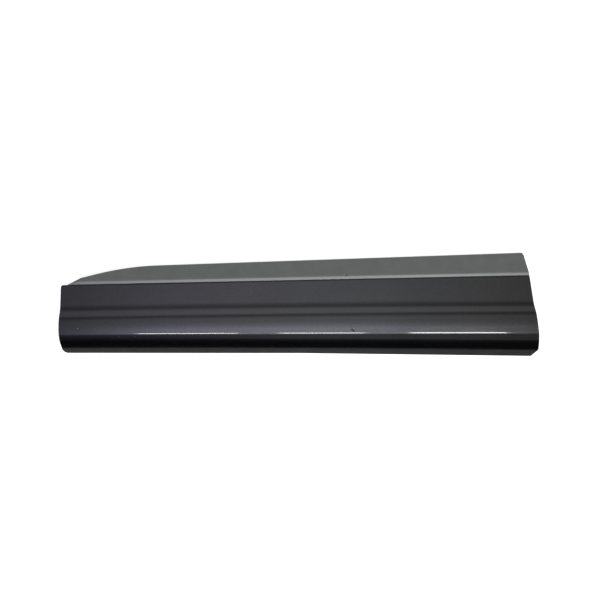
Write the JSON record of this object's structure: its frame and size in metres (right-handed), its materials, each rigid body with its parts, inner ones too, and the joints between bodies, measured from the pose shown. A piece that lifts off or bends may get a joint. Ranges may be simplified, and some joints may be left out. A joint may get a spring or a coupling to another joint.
{
  "type": "door side moulding",
  "caption": "Lower side moulding for a car front door: one plastic shell, dark metallic painted face with a soft step and a sharp crease, bare grey ledge tapering to a tip, bare grey lip.",
  "frame": {"origin": "middle of the bounding box's underside, on the rim plane that meets the door", "axes": "+X along the car towards the slanted end, +Y up the door, +Z outwards from the door"},
  "size_m": [1, 0.2183, 0.0393],
  "materials": {
    "moulding": "dark metallic paint under clear coat on the face, bare satin grey plastic on ledge, lip and back"
  },
  "bodies": {
    "root": {"door_moulding": "moulding"}
  },
  "joints": []
}
